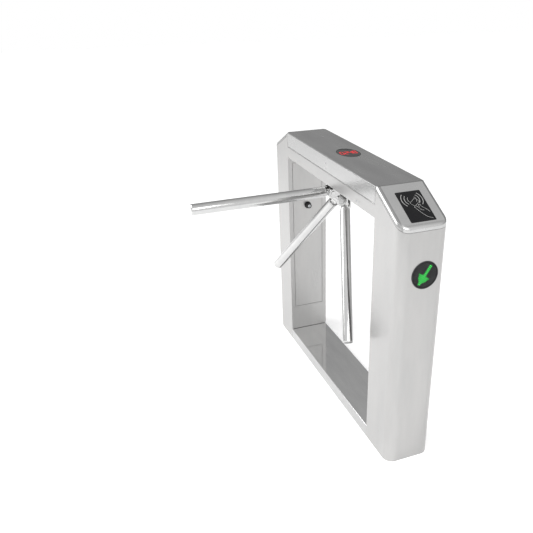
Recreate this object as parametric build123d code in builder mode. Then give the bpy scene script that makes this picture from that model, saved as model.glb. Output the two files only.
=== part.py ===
"""Visitor counter turnstile: a bridge cabinet on two columns with a three-arm tripod under its beam.

X runs along the cabinet, Y across it and Z up, in millimetres. The origin is on the floor, in the
middle of the cabinet. Visitors pass on the -Y side, where the raised arm closes the lane.
"""
from build123d import *
from math import acos, atan2, cos, pi, radians, sin, tan
import os

os.makedirs("parts", exist_ok=True)

# ---- cabinet -------------------------------------------------------------------------------
length = 1150.0            # overall, column end to column end
width = 174.0              # overall, across the cabinet
height = 980.0             # floor to the top of the lid
column_depth = 171.0       # one column, along X
corner_radius = 35.0       # upright outer corners of the columns
inner_corner_radius = 4.0  # upright corners on the portal side
sheet = 2.0                # stainless sheet of the cabinet
beam_depth = 104.0         # lid top to the underside of the beam
lid_skirt = 59.0           # lid top to the seam between lid and tray
tray_lip = 6.0             # inward lip along the tray's top edges
plinth_height = 48.0
seam_gap = 1.0             # open seam between pieces that come apart
bend_radius = 3.5          # outer radius of the long folded edges

# ---- sloped ends ---------------------------------------------------------------------------
slope_run = 164.0
slope_drop = 84.0
cap_skirt = 14.0           # depth of the slope cap's rim, square to the slope
cap_edge_radius = 12.0     # rolled outer edge of the slope cap

# ---- reader windows and indicators ---------------------------------------------------------
reader_width = 88.0
reader_length = 130.0
reader_start = 35.0        # fold to the window's upper edge, along the slope
reader_side_offset = 3.0
reader_glass = 3.0
reader_flange = 4.0        # hidden rim behind the slope cap's cut-out
window_clearance = 0.3
reader_corner = 4.0
reader_proud = 0.6
reader_edge_round = 0.5
module_thickness = 14.0
module_margin = 9.0
indicator_radius = 47.5
indicator_drop = 163.5     # low end of the slope to the lamp's middle
indicator_side_offset = 9.0
indicator_rim = 3.5        # lens flange beyond its hole
indicator_proud = 2.0
indicator_board_gap = 9.0
board_thickness = 1.6

# ---- service doors -------------------------------------------------------------------------
door_width = 134.0
door_bottom = 169.0
door_top_drop = 26.0        # underside of the beam to the door's upper edge
door_gap = 1.5
door_flange = 12.0
door_pivot_inset = 9.0
door_pivot_depth = 6.0
door_pin_radius = 3.0
lock_drop = 191.0          # door's upper edge to the lock
lock_radius = 11.0
lock_proud = 20.0
lock_plug_radius = 6.5
lock_cam_reach = 74.0
lock_cam_width = 16.0
lock_cam_thickness = 3.0

# ---- tripod --------------------------------------------------------------------------------
apex_y = -8.5              # where the three arm lines meet
apex_drop = 29.5           # underside of the beam to that point
tripod_tilt = 45.0         # spindle to vertical, and arm to spindle
arm_side_gap = 45.1        # a lowered arm's tip, on its axis, to the column
arm_radius = 20.0
arm_turn = 1.7             # degrees the tripod rests past the level position
arm_wall = 2.0
arm_start = 88.0           # apex to the start of the tube
pivot_distance = 58.0      # apex to the arm's folding pin
tongue_thickness = 22.0
tongue_radius = 14.0
neck_radius = 14.0
neck_start = 17.0          # pin to the round neck
collar_length = 6.0
collar_round = 1.2
ear_radius = 17.0
ear_span = 58.0            # over the two ears of one fork
socket_radius = 25.0
socket_end = 36.0
pin_radius = 5.0
pin_head_radius = 9.0
pin_head = 3.0
pin_head_chamfer = 0.8
slot_side_gap = 0.3
tip_length = 8.0
tip_round = 6.0
tip_plug = 20.0            # how far the cap's plug goes into the tube
hub_back = -8.0            # along the spindle, outward positive, from the apex
hub_front = 30.0
hub_radius = 40.0
hub_edge = 2.0             # chamfer of the hub's back edge
hub_shoulder = (34.0, 14.0)   # radius and station where the hub starts to taper
hub_taper = 3.0            # last step, out and back, to the flat front
ear_round = 2.5
ear_overlap = 8.0          # how far the ears and sockets run into the hub
nose_radius = 21.0         # flat front of the hub
nose_seat = 24.0           # floor of the recess that takes the nose cap
nose_cap_radius = 15.0
nose_cap_height = 15.0

# ---- spindle, bearings and locking gear ----------------------------------------------------
spindle_radius = 12.5
spindle_tail_radius = 8.0
spindle_front = 20.0       # spindle's end inside the hub
bearing_radius = 23.5
bearing_width = 12.0
running_gap = 0.03
pin_gap = 0.05             # radial clearance of the small pins
housing_front = -12.0
housing_back = -77.0
housing_radius = 30.0
housing_nose_radius = 38.0
housing_nose_length = 18.0
housing_pad = 8.0
boss_clearance = 1.0
plate_thickness = 4.0
plate_half_width = 105.0
plate_low = -30.0
plate_high = 64.0
disc_gap = 2.0
disc_thickness = 8.0
disc_radius = 36.0
notch_depth = 6.0
notch_width = 10.5
notch_count = 6
gear_module = 2.0
gear_teeth = 27
pinion_teeth = 19
gear_width = 7.0
gear_gap = 3.0
backlash = 0.35
motor_radius = 15.0
motor_length = 30.0
motor_shaft_radius = 3.0
motor_shaft_reach = 12.0   # shaft inside the motor
motor_edge_round = 2.0
encoder_radius = 20.0
encoder_thickness = 1.5
pawl_pivot_x = 48.0
pawl_pivot_w = 30.0
pawl_thickness = 6.0
pawl_width = 9.0
pawl_pin_radius = 3.0
plunger_w = -14.0
plunger_radius = 4.0
solenoid_start = 62.0
solenoid_length = 40.0
solenoid_side = 20.0

# ---- hub pocket in the beam ----------------------------------------------------------------
pocket_half_width = 62.0
pocket_front = -76.0
pocket_rise = 29.0         # underside of the beam to the pocket's ceiling
pocket_back = -16.0
liner_wall = 1.5

# ---- counter window ------------------------------------------------------------------------
counter_x = -6.0
counter_y = 8.0
counter_length = 122.0
counter_width = 84.0
counter_flange = 5.0
display_length = 94.0
display_width = 42.0
display_height = 5.5

# ---- places worked out from the sizes above ------------------------------------------------
end_x = length / 2
portal_x = end_x - column_depth
slope_top_x = end_x - slope_run
slope_end_z = height - slope_drop
slope_angle = atan2(slope_drop, slope_run)
beam_bottom = height - beam_depth
door_top = beam_bottom - door_top_drop
lock_height = door_top - lock_drop
indicator_height = slope_end_z - indicator_drop
pocket_top = beam_bottom + pocket_rise
apex_z = beam_bottom - apex_drop
seam_z = height - lid_skirt
half_width = width / 2
inner_half_width = half_width - sheet
column_mid_x = (portal_x + end_x) / 2

tilt = radians(tripod_tilt)
arm_end = (portal_x - arm_side_gap) / (sin(tilt) * sin(radians(120)))
apex = Vector(0, apex_y, apex_z)
spin = Plane(origin=apex, x_dir=(1, 0, 0), z_dir=(0, -sin(tilt), -cos(tilt)))
spin_axis = Axis(apex, spin.z_dir)

plate_back = housing_back - plate_thickness
disc_front = plate_back - disc_gap
disc_back = disc_front - disc_thickness
gear_front = disc_back - gear_gap
gear_back = gear_front - gear_width
encoder_front = gear_back - 7.0
encoder_back = encoder_front - encoder_thickness
spindle_back = encoder_back - 2.5
gear_radius = gear_module * gear_teeth / 2
pinion_radius = gear_module * pinion_teeth / 2
motor_w = gear_radius + pinion_radius


def save(piece, name):
    """Labels a finished piece and writes its STEP file."""
    piece.part.label = name
    export_step(piece.part, f"parts/{name}.step")


def save_pair(piece, name):
    """Writes a piece of the entry end, and its twin turned half round for the exit end."""
    save(piece, f"entry_{name}")
    with BuildPart() as twin:
        add(piece.part, rotation=(0, 0, 180))
    save(twin, f"exit_{name}")


def column_outline(inset):
    """Plan of the entry column, set in by inset, with its outer corners round."""
    with Locations((column_mid_x, 0)):
        Rectangle(column_depth - 2 * inset, width - 2 * inset)
    corners = vertices().group_by(Axis.X)
    fillet(corners[-1], corner_radius - inset)
    fillet(corners[0], inner_corner_radius - inset)


def slope_profile(drop):
    """Points of the end's top line, set in by drop square to the lid and to the slope."""
    fold_x = slope_top_x - drop * tan(slope_angle / 2)
    return [(portal_x - 1, height - drop), (fold_x, height - drop),
            (end_x + 1, slope_end_z - tan(slope_angle) - drop / cos(slope_angle))]


def column_block(inset, drop, floor_z):
    """Solid of the entry column's plan from floor_z up to the sloped top, set in all round."""
    with BuildPart() as block:
        with BuildSketch(Plane.XY.offset(floor_z)):
            column_outline(inset)
        extrude(amount=height - floor_z)
        with BuildSketch(Plane.XZ):
            with BuildLine():
                Polyline(*slope_profile(drop), (end_x + 1, height + 1), (portal_x - 1, height + 1),
                         close=True)
            make_face()
        extrude(amount=width, both=True, mode=Mode.SUBTRACT)
    return block.part


def box_between(low, high, mode=Mode.ADD):
    """Adds or cuts a box given by its lowest and highest corners."""
    size = [h - l for l, h in zip(low, high)]
    middle = [(l + h) / 2 for l, h in zip(low, high)]
    with Locations(tuple(middle)):
        Box(*size, mode=mode)


def spin_box(low, high, mode=Mode.ADD):
    """A box in the spindle's frame: x along the beam, y up across the spindle, z outward."""
    with BuildSketch(spin.offset(low[2])) as profile:
        with Locations(((low[0] + high[0]) / 2, (low[1] + high[1]) / 2)):
            Rectangle(high[0] - low[0], high[1] - low[1])
    extrude(profile.sketch, amount=high[2] - low[2], mode=mode)


def spin_disc(radius, start, end, x=0.0, w=0.0, mode=Mode.ADD):
    """A round bar along the spindle's direction, between two stations."""
    with BuildSketch(spin.offset(start)) as profile:
        with Locations((x, w)):
            Circle(radius)
    extrude(profile.sketch, amount=end - start, mode=mode)


def arm_plane(turn, distance=0.0):
    """Plane square to an arm, turn degrees round the spindle from the raised arm.

    Its x direction is the arm's folding pin, and its y direction points back to the beam.
    """
    phi = radians(turn)
    across = spin.y_dir * cos(phi) + spin.x_dir * sin(phi)
    along = spin.z_dir * cos(tilt) + across * sin(tilt)
    pin = spin.x_dir * cos(phi) - spin.y_dir * sin(phi)
    return Plane(origin=apex + along * distance, x_dir=pin, z_dir=along)


def gear_outline(teeth, turn):
    """Involute gear outline with a tooth centred at turn degrees, thinned by the backlash."""
    pitch = gear_module * teeth / 2
    base = pitch * cos(radians(20))
    tip = pitch + gear_module
    root = pitch - 1.25 * gear_module
    half_tooth = pi / (2 * teeth) - backlash / (2 * pitch) + tan(radians(20)) - radians(20)
    flank = []
    steps = 5
    for step in range(steps):
        r = max(base, root) + (tip - max(base, root)) * step / (steps - 1)
        roll = acos(base / r)
        flank.append((r, half_tooth - (tan(roll) - roll)))
    points = []
    for tooth in range(teeth):
        middle = radians(turn) + 2 * pi * tooth / teeth
        points.append((root, middle - flank[0][1]))
        points += [(r, middle - angle) for r, angle in flank]
        points += [(r, middle + angle) for r, angle in reversed(flank)]
        points.append((root, middle + flank[0][1]))
    with BuildLine() as outline:
        Polyline(*[(r * cos(a), r * sin(a)) for r, a in points], close=True)
    make_face(outline.edges())


# ============================ columns, plinth and beam ======================================
door_cut_half = door_width / 2 + door_gap
pass_half = 60.0           # cable way between column and beam
with BuildPart() as column_shell:
    add(column_block(0.0, cap_skirt + seam_gap, 0.0))
    with BuildSketch(Plane.XY):
        column_outline(sheet)
    extrude(amount=height, mode=Mode.SUBTRACT)
    box_between((portal_x - 1, -door_cut_half, door_bottom - door_gap),
                (portal_x + sheet + 1, door_cut_half, door_top + door_gap), Mode.SUBTRACT)
    box_between((portal_x - 1, -pass_half, beam_bottom + sheet + 2),
                (portal_x + sheet + 1, pass_half, seam_z - sheet - 6), Mode.SUBTRACT)
    with BuildSketch(Plane.YZ.offset(end_x - sheet - 1)):
        with Locations((indicator_side_offset, indicator_height)):
            Circle(indicator_radius - indicator_rim)
    extrude(amount=sheet + 2, mode=Mode.SUBTRACT)
save_pair(column_shell, "column_shell")

base_plate_thickness = 6.0
anchor_spacing_x = 110.0
anchor_spacing_y = 100.0
anchor_hole_radius = 7.0
gland_hole_radius = 12.5
with BuildPart() as base_plates:
    for side in (1, -1):
        with BuildSketch(Plane.XY):
            with Locations((side * column_mid_x, 0)):
                Rectangle(column_depth - 2 * sheet, width - 2 * sheet)
                with GridLocations(anchor_spacing_x, anchor_spacing_y, 2, 2):
                    Circle(anchor_hole_radius, mode=Mode.SUBTRACT)
                Circle(gland_hole_radius, mode=Mode.SUBTRACT)
            outer = vertices().group_by(Axis.X)[-1 if side > 0 else 0]
            fillet(outer, corner_radius - sheet)
            inner = vertices().group_by(Axis.X)[0 if side > 0 else -1]
            fillet(inner, inner_corner_radius - sheet)
        extrude(amount=base_plate_thickness)
save(base_plates, "base_plates")

gland_bore = 8.0
gland_height = 34.0
gland_nut = (18.0, base_plate_thickness, 9.0)        # corner radius, floor, height
gland_cap_nut = (16.5, base_plate_thickness + 12, 12.0)
with BuildPart() as cable_gland:
    with BuildSketch(Plane.XY):
        with Locations((column_mid_x, 0)):
            Circle(gland_hole_radius - 0.2)
    extrude(amount=gland_height)
    for nut_radius, nut_floor, nut_height in (gland_nut, gland_cap_nut):
        with BuildSketch(Plane.XY.offset(nut_floor)):
            with Locations((column_mid_x, 0)):
                RegularPolygon(nut_radius, 6)
        extrude(amount=nut_height)
    with BuildSketch(Plane.XY):
        with Locations((column_mid_x, 0)):
            Circle(gland_bore)
    extrude(amount=gland_height, mode=Mode.SUBTRACT)
save(cable_gland, "cable_gland")

with BuildPart() as plinth_channel:
    box_between((-portal_x, -half_width, 0), (portal_x, half_width, plinth_height))
    fillet(plinth_channel.edges().filter_by(Axis.X).group_by(Axis.Z)[-1], bend_radius)
    box_between((-portal_x, -inner_half_width, 0),
                (portal_x, inner_half_width, plinth_height - sheet), Mode.SUBTRACT)
    for rib_x in (-portal_x / 2, 0, portal_x / 2):
        box_between((rib_x - sheet / 2, -inner_half_width, 0),
                    (rib_x + sheet / 2, inner_half_width, plinth_height - sheet))
save(plinth_channel, "plinth_channel")

screw_x = 52.0
screw_y = (2.0, 46.0)
screw_radius = 3.0
screw_clearance = 0.3
with BuildPart() as beam_tray:
    box_between((-portal_x, -half_width, beam_bottom), (portal_x, half_width, seam_z))
    fillet(beam_tray.edges().filter_by(Axis.X).group_by(Axis.Z)[0], bend_radius)
    box_between((-portal_x, -inner_half_width, beam_bottom + sheet),
                (portal_x, inner_half_width, seam_z - sheet), Mode.SUBTRACT)
    box_between((-portal_x, -inner_half_width + tray_lip, seam_z - sheet),
                (portal_x, inner_half_width - tray_lip, seam_z), Mode.SUBTRACT)
    box_between((-pocket_half_width, pocket_front, beam_bottom - 1),
                (pocket_half_width, pocket_back, beam_bottom + sheet), Mode.SUBTRACT)
    spin_disc(housing_nose_radius + boss_clearance, housing_back, housing_front + 6,
              mode=Mode.SUBTRACT)
    with BuildSketch(Plane.XY.offset(beam_bottom - 1)):
        for y in screw_y:
            with Locations((-screw_x, y), (screw_x, y)):
                Circle(screw_radius + screw_clearance)
    extrude(amount=sheet + 2, mode=Mode.SUBTRACT)
save(beam_tray, "beam_tray")

# ============================ sloped caps, readers and indicators ===========================
slope_dir = Vector(cos(slope_angle), 0, -sin(slope_angle))
slope_normal = Vector(sin(slope_angle), 0, cos(slope_angle))
reader_mid = reader_start + reader_length / 2
reader_origin = (Vector(slope_top_x, 0, height) + slope_dir * reader_mid
                 + Vector(0, reader_side_offset, 0))
reader_plane = Plane(origin=reader_origin, x_dir=slope_dir, z_dir=slope_normal)


def cap_block(inset, drop, edge_radius):
    """The top slice of the column, set in by inset and drop, with its rim edge rolled."""
    with BuildPart() as block:
        add(column_block(inset, drop, slope_end_z - 2 * cap_skirt))
        rim = block.edges().filter_by(lambda e: abs(e.tangent_at(0.5).Y) < 0.01
                                      and abs(abs(e.tangent_at(0.5).Z) - sin(slope_angle)) < 0.01)
        fillet(rim, edge_radius)
    return block.part


with BuildPart() as slope_cap:
    add(cap_block(0.0, 0.0, cap_edge_radius))
    add(cap_block(sheet, sheet, cap_edge_radius - sheet), mode=Mode.SUBTRACT)
    add(column_block(-1.0, cap_skirt, 0.0), mode=Mode.SUBTRACT)
    with BuildSketch(reader_plane.offset(-sheet - 1)):
        RectangleRounded(reader_length + 2 * window_clearance, reader_width + 2 * window_clearance,
                         reader_corner)
    extrude(amount=sheet + 2, mode=Mode.SUBTRACT)
save_pair(slope_cap, "slope_cap")

with BuildPart() as reader_window:
    with BuildSketch(reader_plane.offset(-sheet)):
        RectangleRounded(reader_length, reader_width, reader_corner)
    extrude(amount=sheet + reader_proud)
    fillet(reader_window.faces().sort_by(Axis(reader_origin, slope_normal))[-1].edges(),
           reader_edge_round)
    with BuildSketch(reader_plane.offset(-sheet - reader_glass)):
        RectangleRounded(reader_length + 2 * reader_flange, reader_width + 2 * reader_flange,
                         reader_corner + reader_flange)
    extrude(amount=reader_glass)
save_pair(reader_window, "reader_window")

with BuildPart() as reader_module:
    with BuildSketch(reader_plane.offset(-sheet - reader_glass - module_thickness)):
        RectangleRounded(reader_length - 2 * module_margin, reader_width - 2 * module_margin,
                         reader_corner)
    extrude(amount=module_thickness)
    fillet(reader_module.faces().sort_by(Axis(reader_origin, slope_normal))[0].edges(), 2)
save_pair(reader_module, "reader_module")

end_face = Plane.YZ.offset(end_x)
indicator_hole = indicator_radius - indicator_rim
lens_wall = 2.5
lens_depth = 7.0
with BuildPart() as indicator_lens:
    with BuildSketch(end_face):
        with Locations((indicator_side_offset, indicator_height)):
            Circle(indicator_radius)
    extrude(amount=indicator_proud)
    fillet(indicator_lens.faces().sort_by(Axis.X)[-1].edges(), indicator_proud * 0.6)
    with BuildSketch(Plane.YZ.offset(end_x - lens_depth)):
        with Locations((indicator_side_offset, indicator_height)):
            Circle(indicator_hole - window_clearance)
    extrude(amount=lens_depth)
    with BuildSketch(Plane.YZ.offset(end_x - lens_depth)):
        with Locations((indicator_side_offset, indicator_height)):
            Circle(indicator_hole - window_clearance - lens_wall)
    extrude(amount=lens_depth - 1, mode=Mode.SUBTRACT)
save_pair(indicator_lens, "indicator_lens")

led_radius = 2.0
led_height = 3.0
led_pitch = 7.0
led_rings = ((2, 6), (4, 12))   # (pitches from the middle, LEDs in the ring)
plug_depth = 9.0
plug_half_width = 14.0
plug_low = 30.0            # lamp's middle to the plug's lower and upper faces
plug_high = 22.0
with BuildPart() as indicator_board:
    with BuildSketch(Plane.YZ.offset(end_x - lens_depth - board_thickness)):
        with Locations((indicator_side_offset, indicator_height)):
            Circle(indicator_hole - lens_wall)
    extrude(amount=board_thickness)
    with BuildSketch(Plane.YZ.offset(end_x - lens_depth)):
        with Locations((indicator_side_offset, indicator_height)):
            for pitches, count in led_rings:
                with PolarLocations(led_pitch * pitches, count):
                    Circle(led_radius)
    extrude(amount=led_height)
    board_back = end_x - lens_depth - board_thickness
    box_between((board_back - plug_depth, indicator_side_offset - plug_half_width,
                 indicator_height - plug_low),
                (board_back, indicator_side_offset + plug_half_width,
                 indicator_height - plug_high))
save_pair(indicator_board, "indicator_board")

# ============================ service doors and their locks =================================
door_half = door_width / 2
pivot_x = portal_x + door_pivot_depth
pivot_y = -(door_half - door_pivot_inset)
with BuildPart() as service_door:
    box_between((portal_x, -door_half, door_bottom), (portal_x + sheet, door_half, door_top))
    box_between((portal_x, -door_half, door_bottom),
                (portal_x + door_flange, -door_half + sheet, door_top))
    for low in (door_bottom, door_top - sheet):
        box_between((portal_x, -door_half, low),
                    (portal_x + door_flange, door_half - door_flange, low + sheet))
    with BuildSketch(Plane.XY.offset(door_bottom - 1)):
        with Locations((pivot_x, pivot_y)):
            Circle(door_pin_radius + pin_gap)
    extrude(amount=door_top - door_bottom + 2, mode=Mode.SUBTRACT)
    with BuildSketch(Plane.YZ.offset(portal_x - 1)):
        with Locations((0, lock_height)):
            Circle(lock_radius)
    extrude(amount=sheet + 2, mode=Mode.SUBTRACT)
save_pair(service_door, "service_door")

door_pin_length = 9.0
pivot_block = 8.0
pivot_block_depth = 14.0
pivot_block_reach = (8.0, 12.0)   # past the pin, outward and inward
pivot_play = 0.5           # pivot block to the door's end, beyond the door gap
with BuildPart() as door_pivots:
    for sign in (1, -1):
        for edge, way in ((door_bottom, -1), (door_top, 1)):
            near = edge + way * (door_gap + pivot_play)
            far = near + way * pivot_block
            block_x = sorted((sign * (portal_x + sheet),
                              sign * (portal_x + sheet + pivot_block_depth)))
            block_y = sorted((sign * (pivot_y - pivot_block_reach[0]),
                              sign * (pivot_y + pivot_block_reach[1])))
            box_between((block_x[0], block_y[0], min(near, far)),
                        (block_x[1], block_y[1], max(near, far)))
            tip = near - way * door_pin_length
            with BuildSketch(Plane.XY.offset(min(tip, near))):
                with Locations((sign * pivot_x, sign * pivot_y)):
                    Circle(door_pin_radius)
            extrude(amount=door_pin_length)
save(door_pivots, "door_pivots")

lock_bore = lock_plug_radius + running_gap
lock_edge_round = 1.2
lock_flange = 4.0          # the collar's rim beyond the barrel
lock_flange_height = 3.0
key_slot = (1.6, 8.0, 7.0)   # width, height, depth
cam_gap = 0.8
cam_x = portal_x + sheet + cam_gap
with BuildPart() as door_lock:
    with BuildSketch(Plane.YZ.offset(portal_x - lock_proud)):
        with Locations((0, lock_height)):
            Circle(lock_radius)
    extrude(amount=lock_proud + sheet)
    with BuildSketch(Plane.YZ.offset(portal_x - lock_flange_height)):
        with Locations((0, lock_height)):
            Circle(lock_radius + lock_flange)
    extrude(amount=lock_flange_height)
    fillet(door_lock.faces().sort_by(Axis.X)[0].edges(), lock_edge_round)
    with BuildSketch(Plane.YZ.offset(portal_x - lock_proud)):
        with Locations((0, lock_height)):
            Circle(lock_bore)
    extrude(amount=lock_proud + sheet, mode=Mode.SUBTRACT)
save_pair(door_lock, "door_lock")

with BuildPart() as lock_cam:
    with BuildSketch(Plane.YZ.offset(portal_x - lock_proud + 1)):
        with Locations((0, lock_height)):
            Circle(lock_plug_radius)
    extrude(amount=cam_x + lock_cam_thickness - portal_x + lock_proud - 1)
    box_between((portal_x - lock_proud, -key_slot[0] / 2, lock_height - key_slot[1] / 2),
                (portal_x - lock_proud + key_slot[2], key_slot[0] / 2, lock_height + key_slot[1] / 2),
                Mode.SUBTRACT)
    with BuildSketch(Plane.YZ.offset(cam_x)):
        with Locations((0, lock_height - lock_cam_reach / 2 + lock_cam_width / 4)):
            SlotOverall(lock_cam_reach + lock_cam_width / 2, lock_cam_width, rotation=90)
    extrude(amount=lock_cam_thickness)
save_pair(lock_cam, "lock_cam")

# ============================ top lid, its hinges and the counter ===========================
lid_half = portal_x - seam_gap
with BuildPart() as top_lid:
    box_between((-lid_half, -half_width, seam_z + seam_gap), (lid_half, half_width, height))
    fillet(top_lid.edges().filter_by(Axis.X).group_by(Axis.Z)[-1], bend_radius)
    box_between((-lid_half, -inner_half_width, seam_z),
                (lid_half, inner_half_width, height - sheet), Mode.SUBTRACT)
    with BuildSketch(Plane.XY.offset(height - sheet - 1)):
        with Locations((counter_x, counter_y)):
            Ellipse(counter_length / 2 + window_clearance, counter_width / 2 + window_clearance)
    extrude(amount=sheet + 2, mode=Mode.SUBTRACT)
save(top_lid, "top_lid")

window_flange_thickness = 1.5
window_proud = 0.5
with BuildPart() as counter_window:
    with BuildSketch(Plane.XY.offset(height - sheet)):
        with Locations((counter_x, counter_y)):
            Ellipse(counter_length / 2, counter_width / 2)
    extrude(amount=sheet + window_proud)
    with BuildSketch(Plane.XY.offset(height - sheet - window_flange_thickness)):
        with Locations((counter_x, counter_y)):
            Ellipse(counter_length / 2 + counter_flange, counter_width / 2 + counter_flange)
    extrude(amount=window_flange_thickness)
save(counter_window, "counter_window")

display_top = height - sheet - window_flange_thickness
digit_count = 4
digit_pitch = display_length * 0.23
digit_width = display_length * 0.22
digit_length = display_width * 0.84
with BuildPart() as counter_display:
    box_between((counter_x - display_length / 2, counter_y - display_width / 2,
                 display_top - display_height - board_thickness),
                (counter_x + display_length / 2, counter_y + display_width / 2,
                 display_top - display_height))
    for digit in range(digit_count):
        mid_x = counter_x + (digit - (digit_count - 1) / 2) * digit_pitch
        box_between((mid_x - digit_width / 2, counter_y - digit_length / 2,
                     display_top - display_height),
                    (mid_x + digit_width / 2, counter_y + digit_length / 2, display_top))
save(counter_display, "counter_display")

hinge_inset = 144.0        # column to the middle of a hinge
hinge_places = (hinge_inset - portal_x, portal_x - hinge_inset)
hinge_length = 80.0
knuckle_radius = 3.5
hinge_pin_radius = 2.0
leaf_thickness = 1.5
leaf_height = 22.0
hinge_y = half_width + knuckle_radius
hinge_z = seam_z + seam_gap / 2
third = hinge_length / 4


def hinge_leaf(side, spans):
    """Hinge leaf above (side 1) or below (side -1) the seam, with knuckles over the spans."""
    for x in hinge_places:
        edge = hinge_z + side * (seam_gap / 2 + 0.5)
        far = edge + side * leaf_height
        box_between((x - hinge_length / 2, half_width, min(edge, far)),
                    (x + hinge_length / 2, half_width + leaf_thickness, max(edge, far)))
        for low, high in spans:
            with BuildSketch(Plane.YZ.offset(x + low)) as knuckle_round:
                with Locations((hinge_y, hinge_z)):
                    Circle(knuckle_radius)
            extrude(knuckle_round.sketch, amount=high - low)
            box_between((x + low, half_width, min(hinge_z, edge + side)),
                        (x + high, hinge_y, max(hinge_z, edge + side)))


with BuildPart() as lid_hinge_fixed_leaves:
    hinge_leaf(-1, ((-2 * third, -third), (third, 2 * third)))
    for x in hinge_places:
        box_between((x - third, half_width - 1, hinge_z - knuckle_radius - 0.4),
                    (x + third, hinge_y + knuckle_radius + 1, hinge_z + knuckle_radius + 1),
                    Mode.SUBTRACT)
        with BuildSketch(Plane.YZ.offset(x - 2 * third)):
            with Locations((hinge_y, hinge_z)):
                Circle(hinge_pin_radius)
        extrude(amount=hinge_length)
save(lid_hinge_fixed_leaves, "lid_hinge_fixed_leaves")

with BuildPart() as lid_hinge_moving_leaves:
    hinge_leaf(1, ((-third + 0.3, third - 0.3),))
    for x in hinge_places:
        for low, high in ((-2 * third, -third + 0.3), (third - 0.3, 2 * third)):
            box_between((x + low, half_width - 1, hinge_z - knuckle_radius - 1),
                        (x + high, hinge_y + knuckle_radius + 1, hinge_z + knuckle_radius + 0.4),
                        Mode.SUBTRACT)
        with BuildSketch(Plane.YZ.offset(x - third)):
            with Locations((hinge_y, hinge_z)):
                Circle(hinge_pin_radius + running_gap)
        extrude(amount=2 * third, mode=Mode.SUBTRACT)
save(lid_hinge_moving_leaves, "lid_hinge_moving_leaves")

# ============================ tripod hub and arms ===========================================
turns = {"raised": arm_turn, "near": arm_turn + 120, "far": arm_turn - 120}
with BuildPart() as tripod_hub:
    with BuildSketch(Plane(origin=apex, x_dir=(1, 0, 0), z_dir=spin.y_dir * -1)):
        with BuildLine():
            Polyline((0, hub_back), (hub_radius - hub_edge, hub_back),
                     (hub_radius, hub_back + hub_edge), (hub_radius, 0), hub_shoulder,
                     (nose_radius + hub_taper, hub_front - hub_taper),
                     (nose_radius, hub_front), (0, hub_front), close=True)
        make_face()
    revolve(axis=spin_axis)
    for turn in turns.values():
        with BuildSketch(arm_plane(turn, ear_overlap)):
            Circle(socket_radius)
        extrude(amount=socket_end - ear_overlap)
        pin_side = arm_plane(turn, pivot_distance)
        ear_plane = Plane(origin=pin_side.origin - pin_side.x_dir * (ear_span / 2),
                          x_dir=pin_side.z_dir, z_dir=pin_side.x_dir)
        with BuildSketch(ear_plane):
            Circle(ear_radius)
            with Locations(((socket_end - pivot_distance - ear_overlap) / 2, 0)):
                Rectangle(pivot_distance - socket_end + ear_overlap, 2 * ear_radius)
        extrude(amount=ear_span)
    fillet(tripod_hub.edges().filter_by(GeomType.CIRCLE).filter_by(
        lambda e: abs(e.radius - ear_radius) < 0.01), ear_round)
    slot_half = tongue_thickness / 2 + slot_side_gap
    slot_floor = pivot_distance - tongue_radius - 1
    for turn in turns.values():
        with BuildSketch(arm_plane(turn, slot_floor)):
            Rectangle(2 * slot_half, 4 * ear_radius)
        extrude(amount=3 * ear_radius, mode=Mode.SUBTRACT)
        pin_side = arm_plane(turn, pivot_distance)
        pin_plane = Plane(origin=pin_side.origin - pin_side.x_dir * ear_span,
                          x_dir=pin_side.z_dir, z_dir=pin_side.x_dir)
        with BuildSketch(pin_plane):
            Circle(pin_radius)
        extrude(amount=2 * ear_span, mode=Mode.SUBTRACT)
    spin_disc(spindle_radius, hub_back, spindle_front, mode=Mode.SUBTRACT)
    spin_disc(nose_cap_radius, nose_seat, arm_end, mode=Mode.SUBTRACT)
save(tripod_hub, "tripod_hub")

with BuildPart() as hub_nose_cap:
    spin_disc(nose_cap_radius - 0.1, nose_seat, nose_seat + nose_cap_height)
    fillet(hub_nose_cap.faces().sort_by(spin_axis)[-1].edges(), nose_cap_radius * 0.45)
save(hub_nose_cap, "hub_nose_cap")

with BuildPart() as arm_pivot_pins:
    for turn in turns.values():
        pin_side = arm_plane(turn, pivot_distance)
        pin_plane = Plane(origin=pin_side.origin - pin_side.x_dir * (ear_span / 2),
                          x_dir=pin_side.z_dir, z_dir=pin_side.x_dir)
        with BuildSketch(pin_plane):
            Circle(pin_radius)
        extrude(amount=ear_span)
        for start, amount in ((pin_plane, -pin_head), (pin_plane.offset(ear_span), pin_head)):
            with BuildSketch(start):
                Circle(pin_head_radius)
            extrude(amount=amount)
    heads = arm_pivot_pins.edges().filter_by(GeomType.CIRCLE).filter_by(
        lambda e: abs(e.radius - pin_head_radius) < 0.01)
    chamfer(heads, pin_head_chamfer)
save(arm_pivot_pins, "arm_pivot_pins")

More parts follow.
